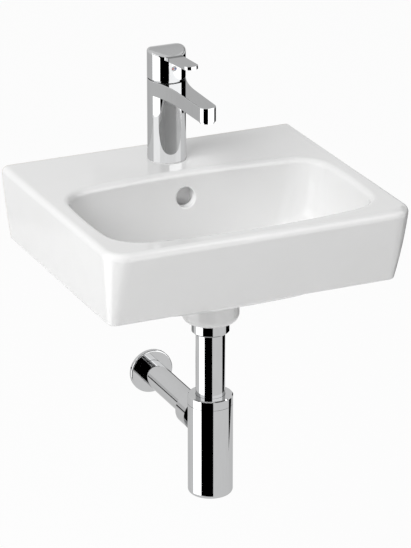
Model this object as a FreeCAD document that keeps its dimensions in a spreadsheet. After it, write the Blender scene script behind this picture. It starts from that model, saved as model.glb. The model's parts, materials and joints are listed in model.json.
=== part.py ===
import FreeCAD
import Part
import Sketcher
import math
import os

# Fits shared by all pieces
thread_gap = 0.05
run_gap = 0.3

# Ceramic basin; heights count from the rim plane
rim_height = 60
basin_width = 400
basin_depth = 350
apron_height = 99
apron_mid = 48
side_inset = 11
front_inset = 30
side_bulge = 1.2
front_bulge = 1.5
corner_top = 29
corner_low = 10
apron_wall = 11
back_wall = 14
ledge_thick = 14
rim_round = 8
lip_round = 8
foot_round = 3
back_spare = 5
side_rim = 25
front_rim = 26.5
bowl_back = 111
bowl_corner = 46
bowl_bow_ends = 900
bowl_bow_sides = 700
bowl_wall = 9
bowl_depth = 111
bowl_side_fall = 57
bowl_front_fall = 55
bowl_back_fall = 31
fixing_spacing = 220
fixing_radius = 7
overflow_drop = 33.5
overflow_radius = 12.5
overflow_width = 26
overflow_wall = 8
overflow_soft = 2
duct_width = 11.5
duct_roof = 9

# Waste outlet
drain_setback = 188.5
drain_fall = 6
drain_cone = 45
outlet_radius = 36
outlet_length = 59
outlet_round = 10
outlet_bore = 23
flange_radius = 31.5
flange_thick = 3
flange_recess = 3
waste_thread = 20.95
waste_inside = 18.5
nut_pocket_radius = 27
nut_pocket_depth = 22
seal_thick = 3
back_nut_thick = 7
plug_radius = 28
plug_thick = 5
plug_lift = 8
plug_stem_radius = 4
guide_wall = 3.5
guide_drop = 16

# Mixer tap
tap_setback = 56
tap_radius = 24.3
tap_hole = 17.5
tap_seal_thick = 1
tap_top = 106
tap_edge = 0.8
spout_thick = 18.8
spout_reach = 122
spout_root = 13
spout_blend = 150
spout_nose = 11
spout_bore = 5
seat_height = 76
seat_thick = 14
chamber_radius = 17.6
nut_thread = 19.05
nut_shoulder = 99
inlet_offset = 7.5
inlet_radius = 5
inlet_forward = 4
inlet_depth = 10
stud_radius = 4
stud_back = 11
stud_low = 58
pivot_height = 95
handle_low = 108
handle_top = 146
handle_arch = 46
handle_round = 5
gap_depth = 2.6
dome_step = 1.9
dome_wall = 1.4
lever_blend = 2.5
handle_hollow = 26.85
lever_reach = 73
lever_root = 11.5
lever_nose = 9.5
lever_thick = 4.2
lever_drop = 7.8
lever_rise = 3.8
indicator_height = 124
indicator_radius = 3.5
screw_radius = 2.5
key_radius = 1.4
pin_radius = 1.5
stem_wide = 8
stem_deep = 9
stem_ball = 2.5
ball_drop = 7
disc_thick = 3
film_gap = 0.1
aerator_thread = 8.2
aerator_drop = 2

# Bottle trap
trap_nut_radius = 23.85
trap_nut_show = 15
trap_nut_height = 18
trap_lip = 4
tube_radius = 18.5
tube_wall = 1.3
tube_clear = 29
bottle_radius = 28.5
bottle_wall = 2
tube_show = 84
bottle_height = 134
bottle_round = 5
cap_height = 12
arm_below = 42
arm_radius = 16
arm_wall = 1.2
arm_past_wall = 18
arm_end_step = 0.2
arm_nut_radius = 23
arm_nut_reach = 58.5
arm_nut_length = 28
stub_radius = 20
rosette_radius = 29.2
rosette_thick = 5.5
rosette_wall = 1.2
rosette_soft = 1.8

doc = FreeCAD.newDocument("Washbasin")
sheet = doc.addObject("Spreadsheet::Sheet", "sizes")
rows = [0]


class Size:
    """A length that carries its number and the sheet expression behind it."""

    def __init__(self, value, text):
        self.value = value
        self.text = text

    def __add__(self, other):
        other = size_of(other)
        return Size(self.value + other.value, "(%s + %s)" % (self.text, other.text))

    def __sub__(self, other):
        other = size_of(other)
        return Size(self.value - other.value, "(%s - %s)" % (self.text, other.text))

    def __mul__(self, other):
        other = size_of(other)
        return Size(self.value * other.value, "(%s * %s)" % (self.text, other.text))

    def __truediv__(self, other):
        other = size_of(other)
        return Size(self.value / other.value, "(%s / %s)" % (self.text, other.text))

    def __neg__(self):
        return Size(-self.value, "(0 - %s)" % self.text)

    def __radd__(self, other):
        return size_of(other) + self

    def __rsub__(self, other):
        return size_of(other) - self

    def __rmul__(self, other):
        return size_of(other) * self


def size_of(thing):
    if isinstance(thing, Size):
        return thing
    return Size(float(thing), "(%r)" % float(thing))


def root_of(size):
    return Size(math.sqrt(size.value), "sqrt(%s)" % size.text)


def named(name, value):
    """Put one driving dimension in the sheet and hand back its size."""
    rows[0] += 1
    cell = "B%d" % rows[0]
    sheet.set("A%d" % rows[0], name)
    sheet.set(cell, str(value))
    sheet.setAlias(cell, name)
    return Size(float(value), "sizes.%s" % name)


# Each number above is a driving dimension: it gets its own cell, and its name then stands for that cell
for name, value in list(globals().items()):
    if isinstance(value, (int, float)):
        globals()[name] = named(name, value)
doc.recompute()


def bind(thing, prop, size):
    thing.setExpression(prop, size_of(size).text)


def new_body(label, at, turn_up=False):
    """A body placed by sheet expressions; turn_up lays its own Z along minus Y."""
    body = doc.addObject("PartDesign::Body", label)
    body.Label = label
    if turn_up:
        spin = FreeCAD.Rotation(FreeCAD.Vector(1, 0, 0), 90)
        body.Placement = FreeCAD.Placement(FreeCAD.Vector(0, 0, 0), spin)
    for letter, size in zip("xyz", at):
        bind(body, "Placement.Base." + letter, size)
    return body


def sketch_on(body, role, name, lift=None):
    sketch = body.newObject("Sketcher::SketchObject", name)
    plane = [f for f in body.Origin.OriginFeatures if f.Role == role][0]
    sketch.AttachmentSupport = [(plane, "")]
    sketch.MapMode = "FlatFace"
    if lift is not None:
        bind(sketch, "AttachmentOffset.Base.z", lift)
    return sketch


def hold(sketch, kind, spot, size):
    """One bound constraint; spot lists the geometry and point numbers before the value."""
    size = size_of(size)
    number = sketch.addConstraint(Sketcher.Constraint(kind, *spot, size.value))
    sketch.setExpression("Constraints[%d]" % number, size.text)


def pin_point(sketch, geo, pos, across, along):
    for kind, axis, size in (("DistanceX", -2, across), ("DistanceY", -1, along)):
        if size_of(size).value == 0:
            sketch.addConstraint(Sketcher.Constraint("PointOnObject", geo, pos, axis))
        else:
            hold(sketch, kind, (-1, 1, geo, pos), size)


def outline(sketch, points):
    """Closed straight-sided outline with every corner pinned by the sheet."""
    flat = [FreeCAD.Vector(size_of(u).value, size_of(v).value, 0) for u, v in points]
    count = len(flat)
    for i in range(count):
        sketch.addGeometry(Part.LineSegment(flat[i], flat[(i + 1) % count]), False)
    for i in range(count):
        sketch.addConstraint(Sketcher.Constraint("Coincident", i, 2, (i + 1) % count, 1))
    for i, (u, v) in enumerate(points):
        pin_point(sketch, i, 1, u, v)


def arc(center, radius, start, end):
    up = FreeCAD.Vector(0, 0, 1)
    spot = FreeCAD.Vector(center[0], center[1], 0)
    return Part.ArcOfCircle(Part.Circle(spot, up, radius), start, end)


def tangent_ring(sketch, count):
    for i in range(count):
        sketch.addConstraint(Sketcher.Constraint("Tangent", i, 2, (i + 1) % count, 1))


def tongue(sketch, root, nose, reach):
    """Tapered tongue: a root circle at the origin and a nose circle reach ahead of it."""
    slope = math.asin((root.value - nose.value) / reach.value)
    right = -slope
    left = math.pi + slope
    r0 = root.value
    r1 = nose.value
    tip = -reach.value
    root_right = FreeCAD.Vector(r0 * math.cos(right), r0 * math.sin(right), 0)
    root_left = FreeCAD.Vector(r0 * math.cos(left), r0 * math.sin(left), 0)
    nose_right = FreeCAD.Vector(r1 * math.cos(right), tip + r1 * math.sin(right), 0)
    nose_left = FreeCAD.Vector(r1 * math.cos(left), tip + r1 * math.sin(left), 0)
    sketch.addGeometry(arc((0, 0), r0, right, left), False)
    sketch.addGeometry(Part.LineSegment(root_left, nose_left), False)
    sketch.addGeometry(arc((0, tip), r1, left, 2 * math.pi + right), False)
    sketch.addGeometry(Part.LineSegment(nose_right, root_right), False)
    tangent_ring(sketch, 4)
    pin_point(sketch, 0, 3, 0, 0)
    pin_point(sketch, 2, 3, 0, -reach)
    hold(sketch, "Radius", (0,), root)
    hold(sketch, "Radius", (2,), nose)


def spout_outline(sketch, column, root, nose, reach, blend):
    """Column circle flowing through two hollow arcs into straight flanks and a round nose."""
    slope = math.asin((root.value - nose.value) / reach.value)
    along = math.sqrt((column.value + blend.value) ** 2 - (root.value + blend.value) ** 2)
    tip = -reach.value
    spots = []
    for side in (-1, 1):
        out = (side * math.cos(slope), -math.sin(slope))
        way = (-side * math.sin(slope), -math.cos(slope))
        hub = tuple(out[k] * (root.value + blend.value) + way[k] * along for k in (0, 1))
        touch = FreeCAD.Vector(*[out[k] * root.value + way[k] * along for k in (0, 1)], 0)
        end = FreeCAD.Vector(out[0] * nose.value, tip + out[1] * nose.value, 0)
        inward = math.atan2(-hub[1], -hub[0])
        flank = math.atan2(-out[1], -out[0])
        spots.append((hub, touch, end, inward, flank, math.atan2(hub[1], hub[0])))
    left, right = spots
    sketch.addGeometry(arc((0, 0), column.value, right[5], left[5] + 2 * math.pi), False)
    sketch.addGeometry(arc(left[0], blend.value, left[4], left[3]), False)
    sketch.addGeometry(Part.LineSegment(left[1], left[2]), False)
    sketch.addGeometry(arc((0, tip), nose.value, math.pi + slope, 2 * math.pi - slope), False)
    sketch.addGeometry(Part.LineSegment(right[2], right[1]), False)
    sketch.addGeometry(arc(right[0], blend.value, right[3], right[4]), False)
    for joint in ((0, 2, 1, 2), (1, 1, 2, 1), (2, 2, 3, 1), (3, 2, 4, 1), (4, 2, 5, 2), (5, 1, 0, 1)):
        sketch.addConstraint(Sketcher.Constraint("Tangent", *joint))
    pin_point(sketch, 0, 3, 0, 0)
    pin_point(sketch, 3, 3, 0, -reach)
    for i, radius in ((0, column), (1, blend), (3, nose), (5, blend)):
        hold(sketch, "Radius", (i,), radius)
    for i in (2, 4):
        hold(sketch, "Distance", (-1, 1, i), root)


def meet(c0, r0, c1, r1, side_x, side_y):
    """Where two circles cross, the crossing farthest toward the given side."""
    dx = c1[0] - c0[0]
    dy = c1[1] - c0[1]
    gap = math.hypot(dx, dy)
    along = (r0 * r0 - r1 * r1 + gap * gap) / (2 * gap)
    off = math.sqrt(max(r0 * r0 - along * along, 0.0))
    base = (c0[0] + along * dx / gap, c0[1] + along * dy / gap)
    spots = []
    for sign in (1, -1):
        spots.append((base[0] - sign * off * dy / gap, base[1] + sign * off * dx / gap))
    return max(spots, key=lambda s: s[0] * side_x + s[1] * side_y)


def bowl_outline(sketch, half, back, front, corner):
    """Soft rectangle of eight tangent arcs; back and front are distances from the wall."""
    ends = bowl_bow_ends
    sides = bowl_bow_sides
    middle = -(back + front) / 2
    c_back = (0.0, -back.value - ends.value)
    c_front = (0.0, -front.value + ends.value)
    c_right = (half.value - sides.value, middle.value)
    c_left = (sides.value - half.value, middle.value)
    inner_end = ends.value - corner.value
    inner_side = sides.value - corner.value
    c_br = meet(c_back, inner_end, c_right, inner_side, 1, 1)
    c_bl = meet(c_back, inner_end, c_left, inner_side, -1, 1)
    c_fl = meet(c_front, inner_end, c_left, inner_side, -1, -1)
    c_fr = meet(c_front, inner_end, c_right, inner_side, 1, -1)

    def heading(a, b):
        return math.atan2(b[1] - a[1], b[0] - a[0]) % (2 * math.pi)

    ring = [(c_right, sides.value, heading(c_right, c_fr), heading(c_right, c_br)),
            (c_br, corner.value, heading(c_right, c_br), heading(c_back, c_br)),
            (c_back, ends.value, heading(c_back, c_br), heading(c_back, c_bl)),
            (c_bl, corner.value, heading(c_back, c_bl), heading(c_left, c_bl)),
            (c_left, sides.value, heading(c_left, c_bl), heading(c_left, c_fl)),
            (c_fl, corner.value, heading(c_left, c_fl), heading(c_front, c_fl)),
            (c_front, ends.value, heading(c_front, c_fl), heading(c_front, c_fr)),
            (c_fr, corner.value, heading(c_front, c_fr), heading(c_right, c_fr))]
    for center, radius, start, end in ring:
        if end < start:
            end += 2 * math.pi
        sketch.addGeometry(arc(center, radius, start, end), False)
    tangent_ring(sketch, 8)
    for i, radius in enumerate((sides, corner, ends, corner, sides, corner, ends, corner)):
        hold(sketch, "Radius", (i,), radius)
    pin_point(sketch, 0, 3, half - sides, middle)
    pin_point(sketch, 4, 3, sides - half, middle)
    pin_point(sketch, 2, 3, 0, -back - ends)
    pin_point(sketch, 6, 3, 0, ends - front)


def apron_outline(sketch, half, back, front, corner):
    """Square at the wall, rounded at the two front corners."""
    a = half.value
    r = corner.value
    y0 = -size_of(back).value
    y1 = -front.value
    turn = math.pi / 2
    shapes = [Part.LineSegment(FreeCAD.Vector(a, y0, 0), FreeCAD.Vector(-a, y0, 0)),
              Part.LineSegment(FreeCAD.Vector(-a, y0, 0), FreeCAD.Vector(-a, y1 + r, 0)),
              arc((-a + r, y1 + r), r, 2 * turn, 3 * turn),
              Part.LineSegment(FreeCAD.Vector(-a + r, y1, 0), FreeCAD.Vector(a - r, y1, 0)),
              arc((a - r, y1 + r), r, 3 * turn, 4 * turn),
              Part.LineSegment(FreeCAD.Vector(a, y1 + r, 0), FreeCAD.Vector(a, y0, 0))]
    for shape in shapes:
        sketch.addGeometry(shape, False)
    for i in (0, 5):
        sketch.addConstraint(Sketcher.Constraint("Coincident", i, 2, (i + 1) % 6, 1))
    for i in (1, 2, 3, 4):
        sketch.addConstraint(Sketcher.Constraint("Tangent", i, 2, i + 1, 1))
    for i in (0, 3):
        sketch.addConstraint(Sketcher.Constraint("Horizontal", i))
    for i in (1, 5):
        sketch.addConstraint(Sketcher.Constraint("Vertical", i))
    hold(sketch, "Radius", (2,), corner)
    hold(sketch, "Radius", (4,), corner)
    pin_point(sketch, 0, 1, half, -size_of(back))
    hold(sketch, "DistanceX", (-1, 1, 0, 2), -half)
    hold(sketch, "DistanceY", (-1, 1, 3, 1), -front)


def feature(body, kind, name):
    return body.newObject("PartDesign::" + kind, body.Label + "_" + name)


def loft(body, kind, name, sketches, ruled=False):
    made = feature(body, kind, name)
    made.Profile = sketches[0]
    made.Sections = sketches[1:]
    made.Ruled = ruled
    for sketch in sketches:
        sketch.Visibility = False
    return made


def turned(label, points, at, turn_up=False):
    """A piece turned about its own Z from a closed outline of radius and height."""
    body = new_body(label, at, turn_up)
    sketch = sketch_on(body, "XZ_Plane", label + "_profile")
    outline(sketch, points)
    made = feature(body, "Revolution", "turn")
    made.Profile = sketch
    made.ReferenceAxis = (sketch, ["V_Axis"])
    made.Angle = 360
    return body


def groove(body, name, points):
    sketch = sketch_on(body, "XZ_Plane", body.Label + "_" + name + "_profile")
    outline(sketch, points)
    made = feature(body, "Groove", name)
    made.Profile = sketch
    made.ReferenceAxis = (sketch, ["V_Axis"])
    made.Angle = 360


def block(body, kind, name, low, high):
    """Box between two corners, each a triple of sizes."""
    made = feature(body, kind + "Box", name)
    for prop, a, b in zip(("Length", "Width", "Height"), low, high):
        bind(made, prop, size_of(b) - a)
    for letter, a in zip("xyz", low):
        bind(made, "Placement.Base." + letter, a)


def lay(made, start, way):
    """Start point and direction of a cylinder or prism: up, back (toward the wall) or right."""
    if way == "back":
        made.Placement.Rotation = FreeCAD.Rotation(FreeCAD.Vector(1, 0, 0), -90)
    if way == "right":
        made.Placement.Rotation = FreeCAD.Rotation(FreeCAD.Vector(0, 1, 0), 90)
    for letter, size in zip("xyz", start):
        bind(made, "Placement.Base." + letter, size)


def rod(body, kind, name, radius, start, length, way="up"):
    made = feature(body, kind + "Cylinder", name)
    bind(made, "Radius", radius)
    bind(made, "Height", length)
    lay(made, start, way)


def hexagon(body, kind, name, radius, length, start, way="up", sides=6):
    made = feature(body, kind + "Prism", name)
    made.Polygon = sides
    bind(made, "Circumradius", radius)
    bind(made, "Height", length)
    lay(made, start, way)


def round_edges(body, name, radius, wanted):
    """Fillet the edges of the body's newest shape that the test picks."""
    doc.recompute()
    tip = body.Tip
    names = ["Edge%d" % (i + 1) for i, e in enumerate(tip.Shape.Edges) if wanted(e)]
    made = feature(body, "Fillet", name)
    made.Base = (tip, names)
    bind(made, "Radius", radius)
    doc.recompute()
    return made


def middle_of(edge):
    return edge.valueAt((edge.FirstParameter + edge.LastParameter) / 2)


def level(edge, height):
    box = edge.BoundBox
    return abs(box.ZMin - height) < 0.01 and abs(box.ZMax - height) < 0.01


# Heights below the rim and distances from the wall that follow from the sizes
bowl_half = basin_width / 2 - side_rim
bowl_front = basin_depth - front_rim
drain_depth = bowl_depth + drain_fall
outlet_bottom = bowl_depth + outlet_length
trap_nut_low = outlet_bottom + trap_nut_show
bottle_top = trap_nut_low + tube_show
bottle_low = bottle_top + bottle_height
tube_low = bottle_low - tube_clear
arm_drop = bottle_top + arm_below
arm_nut_start = drain_setback - arm_nut_reach

at_tap = (0, -tap_setback, rim_height)
at_drain = (0, -drain_setback, rim_height)
at_arm = (0, 0, rim_height - arm_drop)


# Basin: one ceramic casting
basin = new_body("basin", (0, 0, rim_height))
half_width = basin_width / 2
share = apron_mid / apron_height
levels = [(size_of(0), half_width, basin_depth, corner_top),
          (apron_mid, half_width - side_inset * share + side_bulge,
           basin_depth - front_inset * share + front_bulge, (corner_top + corner_low) / 2),
          (apron_height, half_width - side_inset, basin_depth - front_inset, corner_low)]

outer = []
for i, (drop, half, front, corner) in enumerate(levels):
    sketch = sketch_on(basin, "XY_Plane", "apron_outer_%d" % i, -drop)
    apron_outline(sketch, half, -back_spare, front, corner)
    outer.append(sketch)
loft(basin, "AdditiveLoft", "apron", outer)
block(basin, "Subtractive", "wall_side", (-basin_width, 0, -apron_height * 2),
      (basin_width, back_spare * 2, 1))

inner = []
for i, (drop, half, front, corner) in enumerate(levels):
    low = [ledge_thick, drop, drop + 1][i]
    sketch = sketch_on(basin, "XY_Plane", "apron_inner_%d" % i, -low)
    apron_outline(sketch, half - apron_wall, back_wall, front - apron_wall, corner * 0.5)
    inner.append(sketch)
loft(basin, "SubtractiveLoft", "underside", inner)

# Depth, side and front narrowing, back narrowing as shares of the full fall, and the corner's growth
bowl = []
for depth, narrow, behind, ease in ((0, 0, 0, 0), (0.345, 0.107, 0.16, 2),
                                    (0.733, 0.403, 0.55, 5), (1, 1, 1, 3)):
    bowl.append((bowl_depth * depth, bowl_half - bowl_side_fall * narrow, bowl_back + bowl_back_fall * behind,
                 bowl_front - bowl_front_fall * narrow, bowl_corner + ease))

shell = []
for i, (drop, half, back, front, corner) in enumerate(bowl):
    low = [ledge_thick * 0.5, drop, drop, drop + bowl_wall][i]
    sketch = sketch_on(basin, "XY_Plane", "bowl_outer_%d" % i, -low)
    bowl_outline(sketch, half + bowl_wall, back - bowl_wall, front + bowl_wall, corner + bowl_wall)
    shell.append(sketch)
loft(basin, "AdditiveLoft", "bowl_shell", shell)

rod(basin, "Additive", "outlet", outlet_radius, (0, -drain_setback, -outlet_bottom),
    outlet_bottom - bowl_depth - 2)
round_edges(basin, "outlet_edge", outlet_round, lambda e: level(e, -outlet_bottom.value))

duct_top = overflow_drop - overflow_radius
duct_low = outlet_bottom - nut_pocket_depth - 2
duct_back = bowl_back - bowl_wall - 7
rib = sketch_on(basin, "YZ_Plane", "overflow_rib")
outline(rib, [(-bowl_back - 1, -duct_top + overflow_wall),
              (-duct_back + overflow_wall, -duct_top + overflow_wall),
              (-duct_back + overflow_wall, -bowl_depth * 0.71 - 3),
              (-drain_setback + outlet_radius + 21, -duct_low - overflow_wall),
              (-drain_setback + 5, -duct_low - overflow_wall),
              (-drain_setback + 5, -bowl_depth - 4),
              (-bowl_back - 29, -bowl_depth - 1),
              (-bowl_back - 3, -bowl_depth * 0.5)])
made = feature(basin, "Pad", "overflow_casing")
made.Profile = rib
made.Midplane = True
bind(made, "Length", overflow_width + overflow_wall * 2)

cavity = []
for i, (drop, half, back, front, corner) in enumerate(bowl):
    sketch = sketch_on(basin, "XY_Plane", "bowl_inner_%d" % i, -drop)
    bowl_outline(sketch, half, back, front, corner)
    cavity.append(sketch)
loft(basin, "SubtractiveLoft", "bowl", cavity)

made = feature(basin, "SubtractiveCone", "drain_fall")
bind(made, "Radius1", flange_radius + 1.5)
bind(made, "Radius2", drain_cone)
bind(made, "Height", drain_depth - bowl_depth + 0.1)
bind(made, "Placement.Base.y", -drain_setback)
bind(made, "Placement.Base.z", -drain_depth)
recess_low = drain_depth + flange_recess
rod(basin, "Subtractive", "flange_seat", flange_radius + 1.5, (0, -drain_setback, -recess_low),
    flange_recess + 0.5)
rod(basin, "Subtractive", "drain_bore", outlet_bore, (0, -drain_setback, -outlet_bottom - 1),
    outlet_bottom - drain_depth)
rod(basin, "Subtractive", "nut_pocket", nut_pocket_radius, (0, -drain_setback, -outlet_bottom - 1),
    nut_pocket_depth + 1)

duct = sketch_on(basin, "YZ_Plane", "overflow_way")
outline(duct, [(-duct_back - duct_width, -duct_top),
               (-duct_back, -duct_top),
               (-duct_back, -bowl_depth * 0.71),
               (-drain_setback + outlet_radius + 14, -duct_low),
               (-drain_setback + outlet_bore - 4, -duct_low),
               (-drain_setback + outlet_bore - 4, -recess_low - duct_roof),
               (-bowl_back - 39, -recess_low - duct_roof),
               (-bowl_back - 8, -bowl_depth * 0.82),
               (-duct_back - duct_width, -bowl_depth * 0.43)])
made = feature(basin, "Pocket", "overflow_channel")
made.Profile = duct
made.Midplane = True
bind(made, "Length", overflow_width)
rod(basin, "Subtractive", "overflow_hole", overflow_radius, (0, -bowl_back - 25, -overflow_drop),
    bowl_back + 23 - duct_back, "back")


def on_overflow(edge):
    box = edge.BoundBox
    middle = -overflow_drop.value
    reach = max(-box.XMin, box.XMax, abs(box.ZMax - middle), abs(box.ZMin - middle))
    in_bowl = -bowl_front.value < box.YMin and box.YMax < -duct_back.value - duct_width.value - 0.5
    return in_bowl and reach < overflow_radius.value + 0.5


round_edges(basin, "overflow_lip", overflow_soft, on_overflow)

rod(basin, "Subtractive", "tap_opening", tap_hole, (0, -tap_setback, -ledge_thick - 1),
    ledge_thick + 2)
for i, sign in enumerate((-0.5, 0.5)):
    rod(basin, "Subtractive", "fixing_hole_%d" % i, fixing_radius,
        (fixing_spacing * sign, -back_wall - 1, -rim_height), back_wall + 2, "back")


def on_bowl(edge):
    spot = middle_of(edge)
    inside_x = abs(spot.x) < bowl_half.value + 3
    inside_y = -bowl_front.value - 3 < spot.y < -bowl_back.value + 3
    return level(edge, 0) and inside_x and inside_y


def on_rim(edge):
    spot = middle_of(edge)
    wide = abs(spot.x) > bowl_half.value + 5 or spot.y < -bowl_front.value - 5
    return level(edge, 0) and wide and spot.y < -1


def on_foot(edge):
    spot = middle_of(edge)
    out_x = abs(spot.x) > half_width.value - side_inset.value - 0.5 * apron_wall.value
    out_y = spot.y < front_inset.value - basin_depth.value + 0.5 * apron_wall.value
    return level(edge, -apron_height.value) and (out_x or out_y) and spot.y < -1


round_edges(basin, "rim_edge", rim_round, on_rim)
round_edges(basin, "bowl_lip", lip_round, on_bowl)
round_edges(basin, "foot_edge", foot_round, on_foot)

# Mixer: casting and what clamps it to the ledge
tap_body = turned("tap_body", [(0, tap_seal_thick), (tap_radius, tap_seal_thick),
                               (tap_radius, tap_top), (0, tap_top)], at_tap)
spout = sketch_on(tap_body, "XY_Plane", "spout_plan", tap_top - spout_thick)
spout_outline(spout, tap_radius, spout_root, spout_nose, spout_reach, spout_blend)
made = feature(tap_body, "Pad", "spout")
made.Profile = spout
bind(made, "Length", spout_thick)
round_edges(tap_body, "top_edge", tap_edge, lambda e: level(e, tap_top.value))
seat_low = seat_height - seat_thick
groove(tap_body, "chamber", [(0, seat_height), (chamber_radius, seat_height),
                             (chamber_radius, nut_shoulder - 0.2), (nut_thread, nut_shoulder - 0.2),
                             (nut_thread, tap_top + 1), (0, tap_top + 1)])
groove(tap_body, "hollow", [(0, 0), (tap_hole - 0.5, 0), (tap_hole - 0.5, seat_low), (0, seat_low)])
spout_mid = tap_top - spout_thick / 2
rod(tap_body, "Subtractive", "spout_way", spout_bore, (0, -spout_reach, spout_mid),
    spout_reach - chamber_radius + 3, "back")
block(tap_body, "Subtractive", "outlet_way", (-5, -chamber_radius - 2, seat_height),
      (5, -chamber_radius + 4, spout_mid + 2))
aerator_room = aerator_thread + thread_gap
rod(tap_body, "Subtractive", "aerator_thread", aerator_room, (0, -spout_reach, tap_top - spout_thick - 1),
    spout_thick / 2 + 1.5)
for i, sign in enumerate((-1, 1)):
    rod(tap_body, "Subtractive", "inlet_thread_%d" % i, inlet_radius,
        (inlet_offset * sign, -inlet_forward, seat_low - 1), inlet_depth + 1)
    rod(tap_body, "Subtractive", "inlet_way_%d" % i, inlet_radius * 0.6,
        (inlet_offset * sign, -inlet_forward, seat_low), seat_thick + 1)
rod(tap_body, "Subtractive", "stud_thread", stud_radius + thread_gap, (0, stud_back, seat_low - 1), 11)

turned("tap_base_seal", [(tap_hole + 0.5, 0), (tap_radius - 0.6, 0),
                         (tap_radius - 0.6, tap_seal_thick), (tap_hole + 0.5, tap_seal_thick)], at_tap)

tap_stud = new_body("tap_stud", at_tap)
rod(tap_stud, "Additive", "rod", stud_radius, (0, stud_back, -stud_low), stud_low + seat_low + 9.5)

pad_low = ledge_thick + seal_thick
for label, radius, low, thick in (("tap_pad", tap_radius - 0.5, pad_low, seal_thick),
                                  ("tap_clamp_plate", tap_radius - 1.5, pad_low + 2.5, size_of(2.5))):
    body = new_body(label, at_tap)
    rod(body, "Additive", "disc", radius, (0, 0, -low), thick)
    block(body, "Subtractive", "hose_mouth", (-inlet_offset - inlet_radius - 1.5, -tap_radius - 5, -low - 1),
          (inlet_offset + inlet_radius + 1.5, 3, -low + thick + 1))
    rod(body, "Subtractive", "stud_hole", stud_radius + run_gap, (0, stud_back, -low - 1), thick + 2)

tap_nut = new_body("tap_nut", at_tap)
hexagon(tap_nut, "Additive", "hex", stud_radius * 1.85, stud_radius * 5,
        (0, stud_back, -pad_low - 2.5 - stud_radius * 5))
rod(tap_nut, "Subtractive", "thread", stud_radius + thread_gap,
    (0, stud_back, -pad_low - 3.5 - stud_radius * 5), stud_radius * 5 + 2)

# Mixer: ceramic disc cartridge
base_low = seat_height + 0.5
base_top = base_low + disc_thick
seal_room = inlet_radius - 0.5
cartridge_base = new_body("cartridge_base", at_tap)
rod(cartridge_base, "Additive", "disc", chamber_radius - run_gap, (0, 0, base_low), disc_thick)
for i, sign in enumerate((-1, 1)):
    rod(cartridge_base, "Subtractive", "inlet_%d" % i, inlet_radius * 0.5,
        (inlet_offset * sign, -inlet_forward, base_low - 1), disc_thick + 2)
    rod(cartridge_base, "Subtractive", "seal_seat_%d" % i, seal_room,
        (inlet_offset * sign, -inlet_forward, base_low - 1), 2.5)
block(cartridge_base, "Subtractive", "outlet", (-3, -chamber_radius - 1, base_low - 1), (3, -8, base_top + 1))

inlet_seals = doc.addObject("Part::Compound", "cartridge_inlet_seals")
rings = []
for i, sign in enumerate((-1, 1)):
    ring = doc.addObject("Part::Cylinder", "inlet_seal_%d" % i)
    hole = doc.addObject("Part::Cylinder", "inlet_seal_hole_%d" % i)
    bind(ring, "Radius", seal_room - thread_gap)
    bind(hole, "Radius", inlet_radius * 0.62)
    for thing in (ring, hole):
        bind(thing, "Height", 2)
        bind(thing, "Placement.Base.x", inlet_offset * sign)
        bind(thing, "Placement.Base.y", -inlet_forward)
    cut = doc.addObject("Part::Cut", "inlet_seal_ring_%d" % i)
    cut.Base = ring
    cut.Tool = hole
    rings.append(cut)
inlet_seals.Links = rings
inlet_seals.Label = "cartridge_inlet_seals"
bind(inlet_seals, "Placement.Base.y", -tap_setback)
bind(inlet_seals, "Placement.Base.z", rim_height + seat_height)

house_in = chamber_radius - 2.6
house_out = chamber_radius - run_gap
rotor_lip = nut_shoulder + 1.6
cartridge_housing = turned("cartridge_housing", [
    (house_in, base_top), (house_out, base_top), (house_out, nut_shoulder),
    (house_in + 0.6, nut_shoulder), (house_in + 0.6, nut_shoulder + 4), (house_in - 3.8, nut_shoulder + 4),
    (house_in - 3.8, rotor_lip), (house_in, rotor_lip)], at_tap)

fixed_top = base_top + disc_thick
fixed_disc = new_body("fixed_disc", at_tap)
rod(fixed_disc, "Additive", "disc", house_in - 0.1, (0, 0, base_top), disc_thick)
for i, sign in enumerate((-1, 1)):
    rod(fixed_disc, "Subtractive", "inlet_%d" % i, inlet_radius * 0.5,
        (inlet_offset * sign, -inlet_forward, base_top - 1), disc_thick + 2)
block(fixed_disc, "Subtractive", "outlet", (-3, -13, base_top - 1), (3, -8, fixed_top + 1))

slide_low = fixed_top + film_gap
slide_top = slide_low + 2.4
moving_disc = new_body("moving_disc", at_tap)
rod(moving_disc, "Additive", "disc", house_in - 4, (0, 0, slide_low), 2.4)
rod(moving_disc, "Subtractive", "mixing_hollow", 6, (0, -1, slide_low - 0.5), 1.7)

carrier_top = pivot_height - 5
disc_carrier = new_body("disc_carrier", at_tap)
rod(disc_carrier, "Additive", "disc", house_in - 3.7, (0, 0, slide_top), carrier_top - slide_top)
block(disc_carrier, "Subtractive", "stem_socket",
      (-stem_wide / 2 - run_gap, -stem_ball - 0.4, slide_top - 1),
      (stem_wide / 2 + run_gap, stem_ball + 0.4, carrier_top + 1))

rotor_low = carrier_top + run_gap
rotor_top = nut_shoulder + 5.5
rotor_wide = house_in - run_gap
cartridge_rotor = turned("cartridge_rotor", [
    (0, rotor_low), (rotor_wide, rotor_low), (rotor_wide, rotor_lip - run_gap),
    (rotor_wide - 3.8, rotor_lip - run_gap), (rotor_wide - 3.8, rotor_top), (0, rotor_top)], at_tap)
block(cartridge_rotor, "Subtractive", "stem_slot",
      (-stem_wide / 2 - run_gap, -stem_deep / 2 - 3, rotor_low - 1),
      (stem_wide / 2 + run_gap, stem_deep / 2 + 5, rotor_top + 1))
rod(cartridge_rotor, "Subtractive", "pin_hole", pin_radius + thread_gap,
    (-rotor_wide - 1, 0, pivot_height), rotor_wide * 2 + 2, "right")

stem_pin = new_body("stem_pin", at_tap)
rod(stem_pin, "Additive", "rod", pin_radius, (-rotor_wide + 0.7, 0, pivot_height),
    rotor_wide * 2 - 1.4, "right")

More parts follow.
